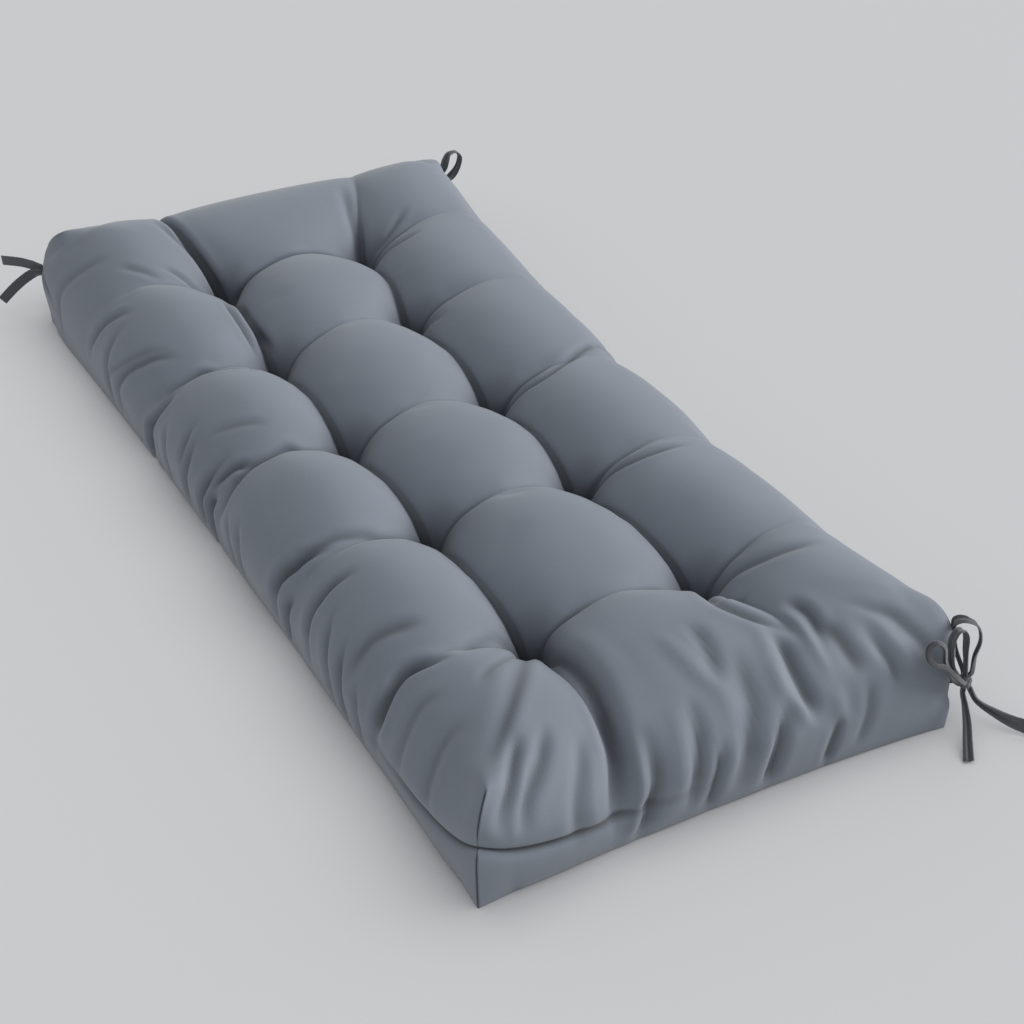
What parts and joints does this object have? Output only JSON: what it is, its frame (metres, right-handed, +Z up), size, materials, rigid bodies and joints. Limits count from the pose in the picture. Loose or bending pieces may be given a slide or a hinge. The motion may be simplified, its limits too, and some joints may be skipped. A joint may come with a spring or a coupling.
{
  "type": "bench cushion",
  "caption": "Rectangular tufted bench seat cushion with boxed, darted corners and flat tape ties sewn into the corner seams.",
  "frame": {"origin": "middle of the flat underside, on the surface that the cushion rests on", "axes": "+X along the cushion's length towards its near end, +Y across it, +Z up out of the tufted top"},
  "size_m": [1.352, 0.6642, 0.1334],
  "materials": {
    "slate_fabric": "matte plain woven polyester in slate grey",
    "tie_tape": "matte flat woven tape in dark grey"
  },
  "bodies": {
    "root": {"cushion": "slate_fabric", "tie_left_upper": "tie_tape", "tie_left_lower": "tie_tape", "tie_far_loop": "tie_tape", "tie_bow_knot": "tie_tape", "tie_bow_root": "tie_tape", "tie_bow_large_loop": "tie_tape", "tie_bow_inner_loop": "tie_tape", "tie_bow_small_loop": "tie_tape", "tie_bow_down_tail": "tie_tape", "tie_bow_side_tail": "tie_tape"}
  },
  "joints": []
}
